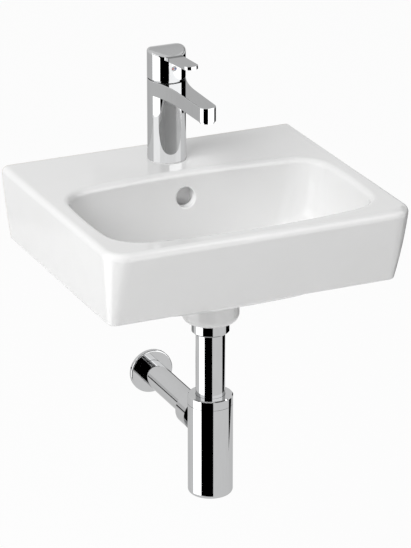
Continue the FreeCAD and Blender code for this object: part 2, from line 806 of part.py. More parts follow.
stem_top = handle_top - 14
cartridge_stem = new_body("cartridge_stem", at_tap)
block(cartridge_stem, "Additive", "shank", (-stem_wide / 2, -stem_deep / 2, pivot_height - 3),
      (stem_wide / 2, stem_deep / 2, stem_top))
block(cartridge_stem, "Additive", "neck", (-stem_wide / 2, -1.6, pivot_height - ball_drop),
      (stem_wide / 2, 1.6, pivot_height - 2))
rod(cartridge_stem, "Additive", "ball", stem_ball, (-stem_wide / 2, 0, pivot_height - ball_drop),
    stem_wide, "right")
rod(cartridge_stem, "Subtractive", "pin_hole", pin_radius + run_gap, (-stem_wide, 0, pivot_height),
    stem_wide * 2, "right")

ring_out = nut_thread - thread_gap
ring_top = tap_top + 3.5
turned("cartridge_nut", [(house_in + 0.8, nut_shoulder), (ring_out, nut_shoulder),
                         (ring_out, ring_top), (house_in + 0.8, ring_top)], at_tap)


def dome_height(radius):
    reach = handle_hollow - 0.6
    return pivot_height + root_of(reach * reach - size_of(radius) * radius)


dome_wide = tap_radius - gap_depth
dome_rings = [dome_wide - dome_step * i for i in range(4)]
dome_cap = [(nut_thread, tap_top), (dome_wide, tap_top)]
dome_cap += [(ring, dome_height(ring)) for ring in dome_rings]
dome_cap += [(ring, dome_height(ring) - dome_wall) for ring in (dome_rings[-1], nut_thread)]
turned("dome_cap", dome_cap, at_tap)

# Mixer: handle and its trim
handle = new_body("handle", at_tap)
rod(handle, "Additive", "drum", tap_radius, (0, 0, handle_low), handle_top + 5 - handle_low)
arch = sketch_on(handle, "YZ_Plane", "arch_profile")
arch_side = math.radians(40)
arch_mid = handle_top - handle_arch
bulge = handle_arch.value
low_z = arch_mid.value + bulge * math.sin(arch_side)
wide_y = bulge * math.cos(arch_side)
roof_z = handle_top.value + 10
arch.addGeometry(arc((0, arch_mid.value), bulge, arch_side, math.pi - arch_side), False)
corners = [FreeCAD.Vector(-wide_y, low_z, 0), FreeCAD.Vector(-wide_y, roof_z, 0),
           FreeCAD.Vector(wide_y, roof_z, 0), FreeCAD.Vector(wide_y, low_z, 0)]
for i in range(3):
    arch.addGeometry(Part.LineSegment(corners[i], corners[i + 1]), False)
for i in range(4):
    arch.addConstraint(Sketcher.Constraint("Coincident", i, 2, (i + 1) % 4, 1))
arch.addConstraint(Sketcher.Constraint("Vertical", 1))
arch.addConstraint(Sketcher.Constraint("Vertical", 3))
arch.addConstraint(Sketcher.Constraint("Horizontal", 2))
pin_point(arch, 0, 3, 0, arch_mid)
hold(arch, "Radius", (0,), handle_arch)
hold(arch, "DistanceX", (-1, 1, 2, 1), handle_arch * -0.7660444)
hold(arch, "DistanceX", (-1, 1, 2, 2), handle_arch * 0.7660444)
hold(arch, "DistanceY", (-1, 1, 2, 1), handle_top + 10)
made = feature(handle, "Pocket", "arch")
made.Profile = arch
made.Midplane = True
bind(made, "Length", tap_radius * 3)
round_edges(handle, "crown", handle_round, lambda e: e.BoundBox.ZMin > handle_low.value + 10)
lever = sketch_on(handle, "XY_Plane", "lever_plan", handle_top - lever_drop - lever_thick)
lever.AttachmentOffset = FreeCAD.Placement(lever.AttachmentOffset.Base,
                                           FreeCAD.Rotation(FreeCAD.Vector(-1, 0, 0), lever_rise.value))
bind(lever, "AttachmentOffset.Rotation.Angle", lever_rise)
tongue(lever, lever_root, lever_nose, lever_reach)
made = feature(handle, "Pad", "lever")
made.Profile = lever
bind(made, "Length", lever_thick)


def on_lever_root(edge):
    spot = middle_of(edge)
    above = spot.z > handle_top.value - lever_drop.value
    return above and abs(spot.x) < lever_root.value - 0.2 and -tap_radius.value - 1 < spot.y < -8


round_edges(handle, "lever_blend", lever_blend, on_lever_root)
made = feature(handle, "SubtractiveSphere", "dome_room")
bind(made, "Radius", handle_hollow)
bind(made, "Placement.Base.z", pivot_height)
block(handle, "Subtractive", "stem_socket",
      (-stem_wide / 2 - thread_gap, -stem_deep / 2 - thread_gap, pivot_height),
      (stem_wide / 2 + thread_gap, stem_deep / 2 + thread_gap, stem_top + 0.2))
rod(handle, "Subtractive", "screw_thread", screw_radius + thread_gap, (0, -tap_radius, indicator_height),
    tap_radius - 2, "back")
rod(handle, "Subtractive", "indicator_seat", indicator_radius + thread_gap,
    (0, -tap_radius - 1, indicator_height), 4, "back")

grub_screw = new_body("grub_screw", at_tap)
rod(grub_screw, "Additive", "thread", screw_radius, (0, -stem_deep / 2 - 12, indicator_height), 12, "back")
hexagon(grub_screw, "Subtractive", "key_socket", key_radius, 4,
        (0, -stem_deep / 2 - 13, indicator_height), "back")

indicator = new_body("indicator_plug", at_tap)
rod(indicator, "Additive", "disc", indicator_radius, (0, -tap_radius - 0.1, indicator_height), 3, "back")

# Mixer: aerator
spout_low = tap_top - spout_thick
at_nose = (0, -tap_setback - spout_reach, rim_height)
aerator_top = spout_low + 7.5
turned("aerator_housing", [
    (aerator_thread - 1.2, spout_low - aerator_drop), (spout_nose - 1.6, spout_low - aerator_drop),
    (spout_nose - 1.6, spout_low - 0.1), (aerator_thread, spout_low - 0.1), (aerator_thread, aerator_top),
    (aerator_thread - 1.2, aerator_top)], at_nose)
aerator_insert = turned("aerator_insert", [
    (0, spout_low - aerator_drop + 0.8), (aerator_thread - 1.25, spout_low - aerator_drop + 0.8),
    (aerator_thread - 1.25, aerator_top), (0, aerator_top)], at_nose)
for i in range(6):
    angle = math.pi * i / 3
    rod(aerator_insert, "Subtractive", "jet_%d" % i, 1.3,
        (aerator_thread * (0.5 * math.cos(angle)), aerator_thread * (0.5 * math.sin(angle)),
         spout_low - aerator_drop), 12)
turned("aerator_seal", [
    (aerator_thread - 2.5, aerator_top), (aerator_thread, aerator_top),
    (aerator_thread, aerator_top + 1.5), (aerator_thread - 2.5, aerator_top + 1.5)], at_nose)

# Waste fitting
flange_low = recess_low - 1
waste_low = trap_nut_low - trap_lip - seal_thick - 2
waste_body = turned("waste_body", [
    (waste_inside, -waste_low), (waste_thread, -waste_low), (waste_thread, -flange_low),
    (flange_radius, -flange_low), (flange_radius, -flange_low + 1.2),
    (flange_radius - 3, -flange_low + flange_thick), (waste_inside + 3, -flange_low + flange_thick),
    (waste_inside, -flange_low + 1)], at_drain)
window = duct_low - recess_low - 12
for name, wide, long in (("window_x", waste_thread * 2.4, 12), ("window_y", 12, waste_thread * 2.4)):
    wide = size_of(wide)
    long = size_of(long)
    block(waste_body, "Subtractive", name, (-wide / 2, -long / 2, -recess_low - 10 - window),
          (wide / 2, long / 2, -recess_low - 10))

turned("flange_seal", [(outlet_bore, -recess_low), (flange_radius - 1, -recess_low),
                       (flange_radius - 1, -flange_low), (outlet_bore, -flange_low)], at_drain)
pocket_top = outlet_bottom - nut_pocket_depth
nut_bore = waste_thread + thread_gap
turned("waste_washer", [
    (nut_bore, -pocket_top - seal_thick), (nut_pocket_radius - 0.8, -pocket_top - seal_thick),
    (nut_pocket_radius - 0.8, -pocket_top), (nut_bore, -pocket_top)], at_drain)
nut_top = pocket_top + seal_thick
turned("waste_nut", [
    (nut_bore, -nut_top - back_nut_thick), (nut_pocket_radius - 1, -nut_top - back_nut_thick),
    (nut_pocket_radius - 1, -nut_top), (nut_bore, -nut_top)], at_drain)

guide_low = waste_low - 4
hub_out = plug_stem_radius + guide_wall
hub_top = drain_depth + guide_drop
plug_guide = turned("plug_guide", [
    (0, -guide_low), (hub_out, -guide_low), (hub_out, -hub_top), (0, -hub_top)], at_drain)
for name, wide, long in (("arm_x", waste_inside * 1.94, 3), ("arm_y", 3, waste_inside * 1.94)):
    wide = size_of(wide)
    long = size_of(long)
    block(plug_guide, "Additive", name, (-wide / 2, -long / 2, -guide_low),
          (wide / 2, long / 2, -guide_low + 4))
groove(plug_guide, "stem_bore", [
    (0, -guide_low + 3), (plug_stem_radius + run_gap, -guide_low + 3),
    (plug_stem_radius + run_gap, -hub_top + 1), (0, -hub_top + 1)])
ring = sketch_on(plug_guide, "XZ_Plane", "guide_ring_profile")
outline(ring, [(waste_inside - 1.5, -guide_low), (waste_inside - thread_gap, -guide_low),
               (waste_inside - thread_gap, -guide_low + 4), (waste_inside - 1.5, -guide_low + 4)])
made = feature(plug_guide, "Revolution", "ring")
made.Profile = ring
made.ReferenceAxis = (ring, ["V_Axis"])
made.Angle = 360

seat_level = flange_low - flange_thick
cap_low = seat_level - plug_lift - run_gap
turned("plug_stem", [(0, -guide_low + 3 + plug_lift + 1), (plug_stem_radius, -guide_low + 3 + plug_lift + 1),
                     (plug_stem_radius, -cap_low + 2), (0, -cap_low + 2)], at_drain)
plug_cap = turned("plug_cap", [
    (plug_stem_radius + thread_gap, -cap_low), (plug_radius - 5, -cap_low),
    (plug_radius - 5, -cap_low + 1.5), (plug_radius, -cap_low + 1.5), (plug_radius, -cap_low + 3),
    (plug_radius - 2, -cap_low + plug_thick - 0.7), (plug_radius * 0.5, -cap_low + plug_thick),
    (0, -cap_low + plug_thick + 0.3), (0, -cap_low + 2.1), (plug_stem_radius + thread_gap, -cap_low + 2.1)],
    at_drain)
turned("plug_seal", [
    (plug_radius - 4.9, -cap_low), (plug_radius - 1.5, -cap_low), (plug_radius - 1.5, -cap_low + 1.5),
    (plug_radius - 4.9, -cap_low + 1.5)], at_drain)

# Bottle trap
turned("trap_inlet_nut", [
    (tube_radius + run_gap, -trap_nut_low), (trap_nut_radius - 2, -trap_nut_low),
    (trap_nut_radius, -trap_nut_low + 2), (trap_nut_radius, -trap_nut_low + trap_nut_height),
    (nut_bore, -trap_nut_low + trap_nut_height), (nut_bore, -trap_nut_low + trap_lip),
    (tube_radius + run_gap, -trap_nut_low + trap_lip)],
    at_drain)
collar = tube_radius + 1.1
collar_top = trap_nut_low - trap_lip - 2
turned("trap_inlet_seal", [(tube_radius - tube_wall, -collar_top), (collar, -collar_top),
                           (collar, -waste_low), (tube_radius - tube_wall, -waste_low)], at_drain)
turned("trap_inlet_tube", [
    (tube_radius - tube_wall, -tube_low), (tube_radius, -tube_low), (tube_radius, -collar_top - 2),
    (collar, -collar_top - 2), (collar, -collar_top), (tube_radius - tube_wall, -collar_top)], at_drain)

cap_base = bottle_top + cap_height
neck_top = bottle_top + 6
neck_out = bottle_radius - 1.7
turned("trap_cap_ring", [
    (tube_radius + run_gap, -bottle_top - 2.5), (neck_out + thread_gap, -bottle_top - 2.5),
    (neck_out + thread_gap, -cap_base), (bottle_radius, -cap_base), (bottle_radius, -bottle_top - 1.2),
    (bottle_radius - 1.2, -bottle_top), (tube_radius + run_gap, -bottle_top)], at_drain)
turned("trap_cap_seal", [
    (tube_radius, -neck_top), (neck_out - 0.3, -neck_top), (neck_out - 0.3, -bottle_top - 2.5),
    (tube_radius, -bottle_top - 2.5)], at_drain)

bottle_in = bottle_radius - bottle_wall
floor_top = bottle_low - 6
plug_thread = bottle_in - 9.5
trap_bottle = turned("trap_bottle", [
    (0, -bottle_low), (bottle_radius, -bottle_low), (bottle_radius, -cap_base - 0.4),
    (neck_out, -cap_base - 0.4), (neck_out, -neck_top), (0, -neck_top)], at_drain)
round_edges(trap_bottle, "foot", bottle_round, lambda e: level(e, -bottle_low.value))
stub_end = drain_setback - arm_nut_start - 10
rod(trap_bottle, "Additive", "stub", stub_radius, (0, 0, -arm_drop), stub_end, "back")
rod(trap_bottle, "Subtractive", "inside", bottle_in, (0, 0, -floor_top), floor_top - cap_base - 0.4)
rod(trap_bottle, "Subtractive", "neck_inside", neck_out - 2.5, (0, 0, -cap_base - 2), cap_base - neck_top + 3)
rod(trap_bottle, "Subtractive", "stub_bore", arm_radius + run_gap, (0, bottle_in - 8, -arm_drop),
    stub_end - bottle_in + 9, "back")
rod(trap_bottle, "Subtractive", "clean_out", plug_thread, (0, 0, -bottle_low - 1), 9)
rod(trap_bottle, "Subtractive", "clean_seat", plug_thread + 3.3, (0, 0, -bottle_low - 1), 4)

clean_out_plug = turned("clean_out_plug", [
    (0, -bottle_low + 0.3), (plug_thread + 3, -bottle_low + 0.3), (plug_thread + 3, -bottle_low + 2.2),
    (plug_thread - thread_gap, -bottle_low + 2.2), (plug_thread - thread_gap, -bottle_low + 7.5),
    (0, -bottle_low + 7.5)], at_drain)
block(clean_out_plug, "Subtractive", "coin_slot", (-1.5, -12, -bottle_low - 1), (1.5, 12, -bottle_low + 2.5))
turned("clean_out_seal", [
    (plug_thread + 0.1, -bottle_low + 2.2), (plug_thread + 2.8, -bottle_low + 2.2),
    (plug_thread + 2.8, -bottle_low + 3), (plug_thread + 0.1, -bottle_low + 3)], at_drain)

# Wall arm; lengths count out from the wall
arm_in = arm_nut_start + 10
turned("arm_nut", [
    (arm_radius + run_gap, arm_nut_start), (arm_nut_radius - 2, arm_nut_start),
    (arm_nut_radius, arm_nut_start + 2), (arm_nut_radius, arm_nut_start + arm_nut_length),
    (stub_radius + thread_gap, arm_nut_start + arm_nut_length), (stub_radius + thread_gap, arm_nut_start + 4),
    (arm_radius + run_gap, arm_nut_start + 4)], at_arm, True)
turned("arm_seal", [
    (arm_radius, arm_nut_start + 4), (stub_radius - 0.4, arm_nut_start + 4), (stub_radius - 0.4, arm_in),
    (arm_radius, arm_in)], at_arm, True)
turned("arm_tube", [
    (arm_radius - arm_wall, -arm_past_wall), (arm_radius - arm_end_step, -arm_past_wall),
    (arm_radius - arm_end_step, 0), (arm_radius, 0), (arm_radius, arm_in + 10),
    (arm_radius - arm_wall, arm_in + 10)], at_arm, True)
rosette_hole = arm_radius + run_gap
rosette = turned("wall_rosette", [
    (rosette_hole, 0), (rosette_hole + rosette_wall, 0),
    (rosette_hole + rosette_wall, rosette_thick - rosette_wall),
    (rosette_radius - rosette_wall, rosette_thick - rosette_wall), (rosette_radius - rosette_wall, 0),
    (rosette_radius, 0), (rosette_radius, rosette_thick), (rosette_hole, rosette_thick)], at_arm, True)


def on_rosette_rim(edge):
    return level(edge, rosette_thick.value) and edge.BoundBox.XMax > rosette_radius.value - 0.1


round_edges(rosette, "rim", rosette_soft, on_rosette_rim)

doc.recompute()
nodes = [o for o in doc.Objects if o.TypeId == "PartDesign::Body"] + [inlet_seals]
for item in doc.Objects:
    if "Invalid" in item.State or "Error" in item.State:
        raise RuntimeError("%s did not build: %s" % (item.Label, item.State))
os.makedirs("parts", exist_ok=True)
for node in nodes:
    shape = node.Shape
    if shape.isNull() or not shape.isValid() or shape.Volume <= 0:
        raise RuntimeError("%s has no valid shape" % node.Label)
    shape.exportStep("parts/%s.step" % node.Label)
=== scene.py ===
import json
import math

import bpy
from mathutils import Matrix, Vector


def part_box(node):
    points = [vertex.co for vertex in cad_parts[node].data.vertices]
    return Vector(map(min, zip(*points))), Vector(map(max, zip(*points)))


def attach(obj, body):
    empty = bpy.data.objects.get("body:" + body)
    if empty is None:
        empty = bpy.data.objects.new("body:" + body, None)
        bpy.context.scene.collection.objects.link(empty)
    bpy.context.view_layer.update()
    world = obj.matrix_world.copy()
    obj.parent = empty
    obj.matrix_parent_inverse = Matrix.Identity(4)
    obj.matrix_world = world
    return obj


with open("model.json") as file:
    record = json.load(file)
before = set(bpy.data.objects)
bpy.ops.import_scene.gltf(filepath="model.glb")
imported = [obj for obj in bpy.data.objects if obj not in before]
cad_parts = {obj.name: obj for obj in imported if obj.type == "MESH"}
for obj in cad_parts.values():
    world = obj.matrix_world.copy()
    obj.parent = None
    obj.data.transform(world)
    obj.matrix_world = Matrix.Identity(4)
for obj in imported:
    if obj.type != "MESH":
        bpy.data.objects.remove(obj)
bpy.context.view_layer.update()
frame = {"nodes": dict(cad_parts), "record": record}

nodes = frame["nodes"]
scene = bpy.context.scene

# Camera at the photograph's viewing angle: degrees, metres and photograph pixels
CAMERA_TURN = -24.34
CAMERA_TILT = 21.57
CAMERA_PLACE = (-1.5910, -3.6909, 1.4717)
FOCAL_PIXELS = 3360.27
FRAME_HEIGHT = 548
SENSOR = 36.0

# Studio; glow 1 is white
FLOOR_LEVEL = -0.79
FLOOR_HALF = 30.0
FLOOR_PAPER = 0.9
FLOOR_WHITE = 0.94
AMBIENT = 0.44
LAMP_AIM = (0, -0.18, 0)
LAMP_AWAY = 4.0
LAMP_SIZE = 2.92
KEY_WAY = (-0.706, -0.372, 0.603)
KEY_POWER = 126.0
FILL_WAY = (0.30, -1.0, 0.30)
FILL_POWER = 4.0
SOFTBOX_GLOW = 2.4
HIGH_GLOW = 3.6
GREY_GLOW = 0.80

# Cards that only reflections show: name, start and end angle, distance from the origin, lower and upper edge,
# glow, and the lower edge at the end angle where it differs. Angles turn right from the camera, in degrees.
CARDS = (
    ("left_softbox", -84, -33, 0.80, -0.75, 0.15, SOFTBOX_GLOW),
    ("dark_gap_by_camera", -33, 17, 0.80, -0.78, 0.50, 0),
    ("right_softbox", 17, 95, 1.00, -0.36, 0.25, SOFTBOX_GLOW),
    ("high_softbox", 40, 95, 1.00, 0.25, 1.00, HIGH_GLOW),
    ("left_high_softbox", -84, -33, 0.80, 0.38, 0.50, SOFTBOX_GLOW),
    ("spout_softbox", 17, 40, 0.45, 0.19, 0.34, HIGH_GLOW),
    ("dark_flag", 95, 156, 1.00, -0.71, 0.00, 0, -0.60),
    ("high_dark_flag", 95, 156, 1.00, 0.46, 0.62, 0),
    ("grey_flag_above", 125, 235, 1.05, 0.58, 3.20, GREY_GLOW),
    ("grey_flag_behind", 158, 190, 0.50, 0.27, 0.48, GREY_GLOW),
    ("grey_flag_left", -150, -84, 1.00, -0.45, -0.08, GREY_GLOW),
    ("dark_strip_behind", 166, 182, 0.90, -0.55, -0.28, 0),
    ("dark_strip_by_arm", -119, -95, 0.25, -0.288, -0.262, 0),
)

# Cards that lie on the ledge round the tap and glow upwards, so that only the tap mirrors them: name, start and end
# angle as above, and glow. The lines after them give the outline that they keep to, in metres: near the edges of the
# ledge and the bowl, and half a millimetre above the ledge.
LEDGE_CARDS = (
    ("ledge_card_left_edge", -160, -84, 0.93),
    ("ledge_card_left", -84, -40, 1.53),
    ("ledge_card_front", -40, 55, 1.25),
    ("ledge_card_right", 55, 92, 1.35),
    ("ledge_card_right_edge", 92, 160, 1.00),
)
LEDGE_TOP = 0.0605
LEDGE_HALF = 0.196
LEDGE_BACK = -0.004
TAP_SETBACK = 0.056
TAP_RADIUS = 0.0243
BOWL_HALF = 0.175
BOWL_BACK = -0.112
BOWL_CORNER = 0.046
CARD_STEP = 0.001

# Details that repeat, in metres
MESH_CELL = 0.0016
MESH_RIB = 0.00022
MESH_DEEP = 0.0006
THREAD_PITCH = 0.00125
THREAD_RIDGE = 0.0004
HEXAGON_TURN = math.radians(30)
MESH_MARGIN = 0.6 * MESH_CELL

# Painted spots, in metres: each fades out between the named share of its radius and the radius
DOT_RADIUS = 0.0011
DOT_CORE = 0.9
DOT_APART = 0.0017
# The overflow spot is painted light: it whitens the shaded mouth of the overflow in the white glaze.
OVERFLOW_HEART = (0, -0.100, 0.0265)
OVERFLOW_REACH = 0.020
OVERFLOW_CORE = 0.85

# Along Y, in metres: the glaze thins out from the first to the second, and bare clay lies behind them
GLAZE_END = -0.0012
CLAY_START = -0.0004
CLAY_ROUGHNESS = 0.8

# How much finer the wipe lines are than the smears, and the fine grain than the clouds
LINES_PER_SMEAR = 12
GRAINS_PER_CLOUD = 4
LINE_STRETCH = (1, 1, 0.15)


# Helpers for node trees


def put(tree, kind, **settings):
    """Add a node; a setting sets the property of that name or, failing that, fills the input of that name."""
    node = tree.nodes.new(kind)
    for name, value in settings.items():
        if hasattr(node, name):
            setattr(node, name, value)
        else:
            node.inputs[name.replace("_", " ")].default_value = value
    return node


def join(tree, source, target):
    tree.links.new(source, target)


def emptied(owner):
    owner.use_nodes = True
    owner.node_tree.nodes.clear()
    return owner.node_tree


def grey(level):
    return (level, level, level, 1)


def spread(tree, value, low, high):
    """A 0 to 1 value spread over low to high."""
    node = put(tree, "ShaderNodeMapRange", To_Min=low, To_Max=high)
    join(tree, value, node.inputs["Value"])
    return node.outputs["Result"]


def between(tree, share, first, second):
    """Colour between two colours; each is a fixed colour or a node's output."""
    node = put(tree, "ShaderNodeMix", data_type="RGBA")
    join(tree, share, node.inputs["Factor"])
    for socket, colour in ((node.inputs["A"], first), (node.inputs["B"], second)):
        if isinstance(colour, tuple):
            socket.default_value = colour
        else:
            join(tree, colour, socket)
    return node.outputs["Result"]


def sums(tree, operation, first, second):
    """One math node; each side is a number or a node's output."""
    node = put(tree, "ShaderNodeMath", operation=operation)
    for socket, side in zip(node.inputs, (first, second)):
        if isinstance(side, (int, float)):
            socket.default_value = side
        else:
            join(tree, side, socket)
    return node.outputs[0]


def seen_directly(tree):
    """1 for camera, glossy and transmission rays, 0 for the rays that light the object."""
    path = put(tree, "ShaderNodeLightPath")
    shown = sums(tree, "MAXIMUM", path.outputs["Is Camera Ray"], path.outputs["Is Glossy Ray"])
    return sums(tree, "MAXIMUM", shown, path.outputs["Is Transmission Ray"])


def link_mesh(name, points, faces):
    mesh = bpy.data.meshes.new(name)
    mesh.from_pydata(points, [], faces)
    made = bpy.data.objects.new(name, mesh)
    scene.collection.objects.link(made)
    return made


# Camera and studio


def add_camera():
    lens = bpy.data.cameras.new("camera")
    lens.sensor_width = SENSOR
    lens.lens = FOCAL_PIXELS * SENSOR / FRAME_HEIGHT
    lens.clip_end = 2 * FLOOR_HALF
    holder = bpy.data.objects.new("camera", lens)
    turn = Matrix.Rotation(math.radians(CAMERA_TURN), 4, "Z")
    tilt = Matrix.Rotation(math.radians(90 - CAMERA_TILT), 4, "X")
    holder.matrix_world = Matrix.Translation(CAMERA_PLACE) @ turn @ tilt
    scene.collection.objects.link(holder)
    scene.camera = holder


def add_world():
    scene.world = bpy.data.worlds.new("studio_air")
    tree = emptied(scene.world)
    out = put(tree, "ShaderNodeOutputWorld")
    back = put(tree, "ShaderNodeBackground")
    join(tree, between(tree, seen_directly(tree), grey(AMBIENT), grey(1)), back.inputs["Color"])
    join(tree, back.outputs[0], out.inputs["Surface"])


def add_floor():
    h = FLOOR_HALF
    floor = link_mesh("floor", [(x, y, FLOOR_LEVEL) for x, y in ((-h, -h), (h, -h), (h, h), (-h, h))],
                      [(0, 1, 2, 3)])
    paper = bpy.data.materials.new("floor_paper")
    tree = emptied(paper)
    out = put(tree, "ShaderNodeOutputMaterial")
    lit = put(tree, "ShaderNodeBsdfDiffuse", Color=grey(FLOOR_PAPER))
    white = put(tree, "ShaderNodeEmission")
    both = put(tree, "ShaderNodeMixShader")
    join(tree, sums(tree, "MULTIPLY", seen_directly(tree), FLOOR_WHITE), both.inputs["Fac"])
    join(tree, lit.outputs[0], both.inputs[1])
    join(tree, white.outputs[0], both.inputs[2])
    join(tree, both.outputs[0], out.inputs["Surface"])
    floor.data.materials.append(paper)


def add_lamp(name, way, power):
    """Large soft lamp that reflections don't show, on the given side of the basin."""
    lamp = bpy.data.lights.new(name, "AREA")
    lamp.size = LAMP_SIZE
    lamp.energy = power
    holder = bpy.data.objects.new(name, lamp)
    way = Vector(way).normalized()
    turn = way.to_track_quat("Z", "Y").to_matrix().to_4x4()
    holder.matrix_world = Matrix.Translation(Vector(LAMP_AIM) + way * LAMP_AWAY) @ turn
    holder.visible_glossy = False
    scene.collection.objects.link(holder)


def hang_card(name, points, faces, glow, one_sided=False):
    """Glowing card that only reflections show; a one-sided card is clear from behind."""
    card = link_mesh(name, points, faces)
    paint = bpy.data.materials.new(name)
    tree = emptied(paint)
    out = put(tree, "ShaderNodeOutputMaterial")
    light = put(tree, "ShaderNodeEmission", Strength=glow)
    surface = light
    if one_sided:
        clear = put(tree, "ShaderNodeBsdfTransparent")
        surface = put(tree, "ShaderNodeMixShader")
        join(tree, put(tree, "ShaderNodeNewGeometry").outputs["Backfacing"], surface.inputs["Fac"])
        join(tree, light.outputs[0], surface.inputs[1])
        join(tree, clear.outputs[0], surface.inputs[2])
    join(tree, surface.outputs[0], out.inputs["Surface"])
    card.data.materials.append(paint)
    card.visible_camera = False
    card.visible_diffuse = False
    card.visible_shadow = False
    card.visible_transmission = False


def add_card(name, start, end, away, low, high, glow, low_end=None):
    """Upright card on an arc round the origin, as CARDS lists it."""
    steps = max(2, round((end - start) / 3))
    points = []
    for i in range(steps + 1):
        share = i / steps
        turn = math.radians(CAMERA_TURN + start + (end - start) * share)
        foot = low if low_end is None else low + (low_end - low) * share
        points += [(away * math.sin(turn), -away * math.cos(turn), z) for z in (foot, high)]
    hang_card(name, points, [(2 * i, 2 * i + 2, 2 * i + 3, 2 * i + 1) for i in range(steps)], glow)


def on_ledge(x, y):
    """Whether a place lies on the ledge, beside or behind the bowl's rounded outline."""
    beside = max(abs(x) - BOWL_HALF + BOWL_CORNER, 0)
    behind = max(y - BOWL_BACK + BOWL_CORNER, 0)
    return abs(x) < LEDGE_HALF and y < LEDGE_BACK and math.hypot(beside, behind) > BOWL_CORNER


def add_ledge_card(name, start, end, glow):
    """Card on the ledge, fanned out along the ways in which the tap's column mirrors the camera's view."""
    steps = end - start
    points = []
    for i in range(steps + 1):
        turn = math.radians(CAMERA_TURN + start + i)
        face = math.radians(CAMERA_TURN + (start + i) / 2)
        x, y = TAP_RADIUS * math.sin(face), -TAP_SETBACK - TAP_RADIUS * math.cos(face)
        points.append((x, y, LEDGE_TOP))
        while on_ledge(x, y):
            x, y = x + CARD_STEP * math.sin(turn), y - CARD_STEP * math.cos(turn)
        points.append((x, y, LEDGE_TOP))
    faces = [(2 * i, 2 * i + 1, 2 * i + 3, 2 * i + 2) for i in range(steps)]
    hang_card(name, points, faces, glow, one_sided=True)


def add_studio():
    add_world()
    add_floor()
    add_lamp("key_light", KEY_WAY, KEY_POWER)
    add_lamp("fill_light", FILL_WAY, FILL_POWER)
    for card in CARDS:
        add_card(*card)
    for card in LEDGE_CARDS:
        add_ledge_card(*card)


# Shared surface effects


def start_group(name, outputs):
    tree = bpy.data.node_groups.new(name, "ShaderNodeTree")
    tree.interface.new_socket("Grain", in_out="INPUT", socket_type="NodeSocketFloat")
    for label in outputs:
        tree.interface.new_socket(label, in_out="OUTPUT", socket_type="NodeSocketFloat")
    return tree, put(tree, "NodeGroupInput"), put(tree, "NodeGroupOutput")


def clouds(tree, place, scale, detail):
    node = put(tree, "ShaderNodeTexNoise", Detail=detail)
    join(tree, place, node.inputs["Vector"])
    join(tree, scale, node.inputs["Scale"])
    return node.outputs["Fac"]


def make_polish_marks():
    """Wipe marks of a polished metal: Wear for the roughness, Height for the bump."""
    tree, given, out = start_group("polish_marks", ("Wear", "Height"))
    place = put(tree, "ShaderNodeTexCoord").outputs["Object"]
    stretch = put(tree, "ShaderNodeMapping", Scale=LINE_STRETCH)
    join(tree, place, stretch.inputs["Vector"])
    smears = clouds(tree, place, given.outputs["Grain"], 3)
    fineness = sums(tree, "MULTIPLY", given.outputs["Grain"], LINES_PER_SMEAR)
    lines = clouds(tree, stretch.outputs["Vector"], fineness, 1)
    join(tree, sums(tree, "MULTIPLY", smears, lines), out.inputs["Wear"])
    join(tree, lines, out.inputs["Height"])
    return tree


def make_skin_mottle():
    """Soft cloudiness and fine grain of a fired or moulded skin."""
    tree, given, out = start_group("skin_mottle", ("Tone", "Height"))
    place = put(tree, "ShaderNodeTexCoord").outputs["Object"]
    join(tree, clouds(tree, place, given.outputs["Grain"], 2), out.inputs["Tone"])
    fine = clouds(tree, place, sums(tree, "MULTIPLY", given.outputs["Grain"], GRAINS_PER_CLOUD), 2)
    join(tree, fine, out.inputs["Height"])
    return tree


polish_marks = make_polish_marks()
skin_mottle = make_skin_mottle()


# Finishes, one for each material slot of the record


def start_finish(name, effect, grain, **settings):
    """Material with one shader and one shared surface effect: (material, tree, shader, effect)."""
    material = bpy.data.materials.new(name)
    tree = emptied(material)
    out = put(tree, "ShaderNodeOutputMaterial")
    skin = put(tree, "ShaderNodeBsdfPrincipled", **settings)
    join(tree, skin.outputs["BSDF"], out.inputs["Surface"])
    marks = put(tree, "ShaderNodeGroup", node_tree=effect, Grain=grain)
    return material, tree, skin, marks


def roughen(tree, skin, marks, depth):
    """Bump from the effect's height; depth in metres."""
    bump = put(tree, "ShaderNodeBump", Distance=depth)
    join(tree, marks.outputs["Height"], bump.inputs["Height"])
    join(tree, bump.outputs["Normal"], skin.inputs["Normal"])


def paint_metal(name, grain, dull, bright, roughness, depth, edge):
    """Metal whose colour and roughness both follow its wipe marks; edge is its tint at a glancing angle."""
    material, tree, skin, marks = start_finish(name, polish_marks, grain, Metallic=1, Specular_Tint=grey(edge))
    wear = marks.outputs["Wear"]
    join(tree, between(tree, wear, bright, dull), skin.inputs["Base Color"])
    join(tree, spread(tree, wear, *roughness), skin.inputs["Roughness"])
    roughen(tree, skin, marks, depth)
    return material


def paint_moulded(name, grain, dark, light, roughness, depth):
    """Moulded rubber or plastic with a fine grain."""
    material, tree, skin, marks = start_finish(name, skin_mottle, grain)
    tone = marks.outputs["Tone"]
    join(tree, between(tree, tone, dark, light), skin.inputs["Base Color"])
    join(tree, spread(tree, tone, *roughness), skin.inputs["Roughness"])
    roughen(tree, skin, marks, depth)
    return material


def painted_spot(tree, place, heart, radius, core):
    """1 round the heart, fading to 0 between the core's share of the radius and the radius."""
    away = put(tree, "ShaderNodeVectorMath", operation="DISTANCE")
    away.inputs[1].default_value = heart
    join(tree, place, away.inputs[0])
    mask = put(tree, "ShaderNodeMapRange", From_Min=radius, From_Max=radius * core)
    join(tree, away.outputs["Value"], mask.inputs["Value"])
    return mask.outputs["Result"]


